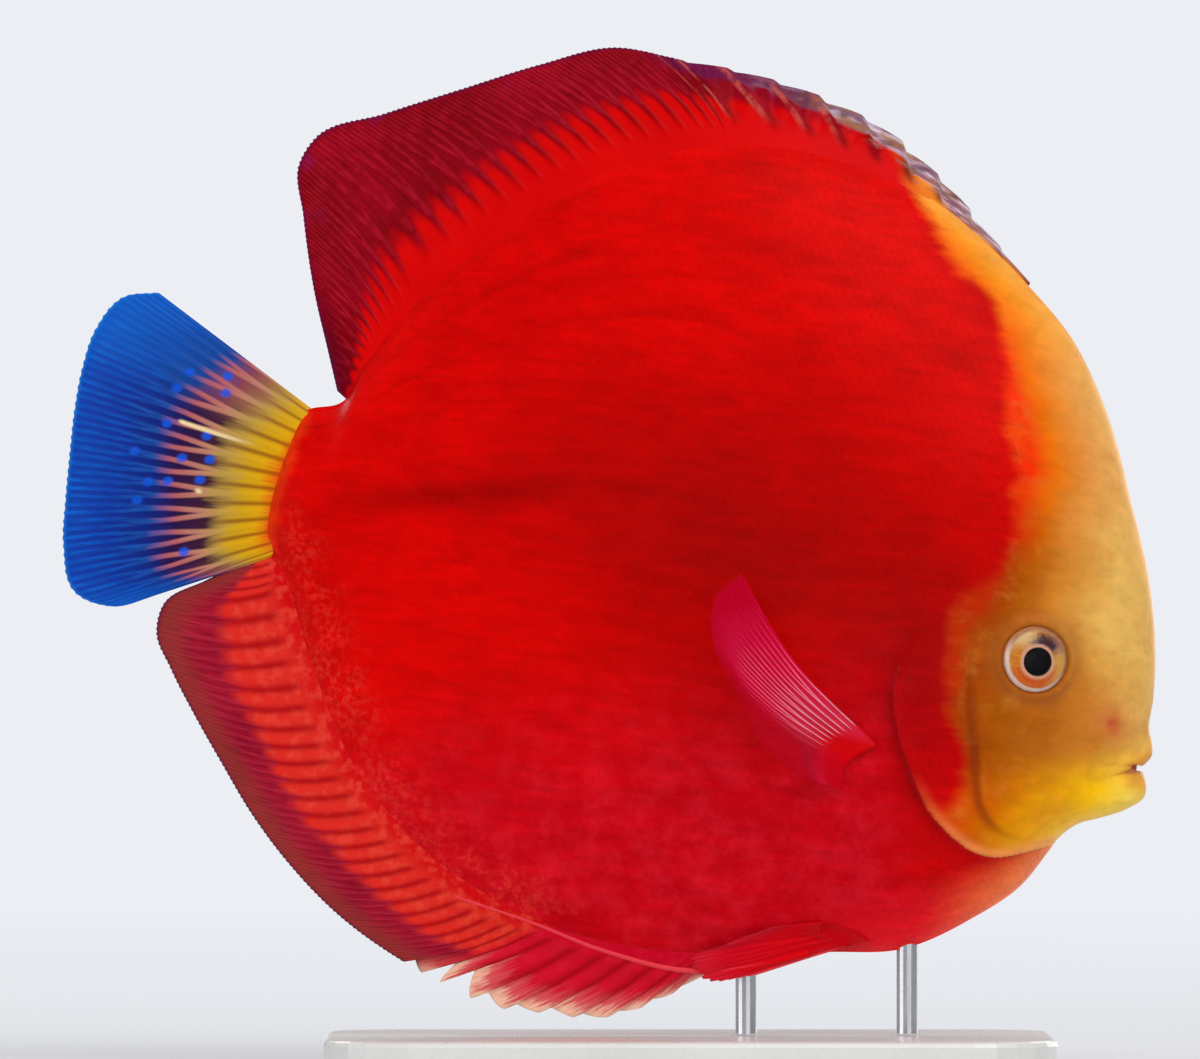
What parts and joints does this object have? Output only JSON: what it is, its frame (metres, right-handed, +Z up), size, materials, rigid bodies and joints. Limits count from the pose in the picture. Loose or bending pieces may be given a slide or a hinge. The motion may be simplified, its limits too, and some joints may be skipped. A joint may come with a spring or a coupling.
{
  "type": "discus fish display model",
  "caption": "Still model of a discus fish: a tall, flat, round body with long dorsal and anal fins, held just above a flat stand by short rods.",
  "frame": {"origin": "centre of the stand base's underside", "axes": "+X the way the fish faces, +Z up, +Y to the fish's left"},
  "size_m": [0.1562, 0.078, 0.1462],
  "materials": {
    "body_skin": "fine scales under a wet, satin gloss, red",
    "face_skin": "smooth skin with a satin gloss, yellow to orange",
    "dorsal_fin": "thin membrane over rays, dark red",
    "anal_fin": "thin membrane over rays, red",
    "caudal_fin": "clear membrane over pale rays, yellow at the root",
    "paired_fins": "thin membrane over pale rays, pink red",
    "eye": "clear gloss over an orange iris and a black pupil",
    "stand_acrylic": "satin pale grey",
    "stand_steel": "satin"
  },
  "bodies": {
    "root": {"anal_fin_rays": "anal_fin", "anal_fin_spines": "anal_fin", "caudal_fin": "caudal_fin", "dorsal_fin_rays": "dorsal_fin", "dorsal_fin_spines": "dorsal_fin", "eye_left": "eye", "eye_right": "eye", "gill_cover_left": "body_skin", "gill_cover_right": "body_skin", "head": "face_skin", "pectoral_fin_left": "paired_fins", "pectoral_fin_right": "paired_fins", "pelvic_fin_left": "paired_fins", "pelvic_fin_right": "paired_fins", "stand_base": "stand_acrylic", "stand_rod_front": "stand_steel", "stand_rod_rear": "stand_steel", "tail_base": "body_skin", "torso": "body_skin"}
  },
  "joints": []
}
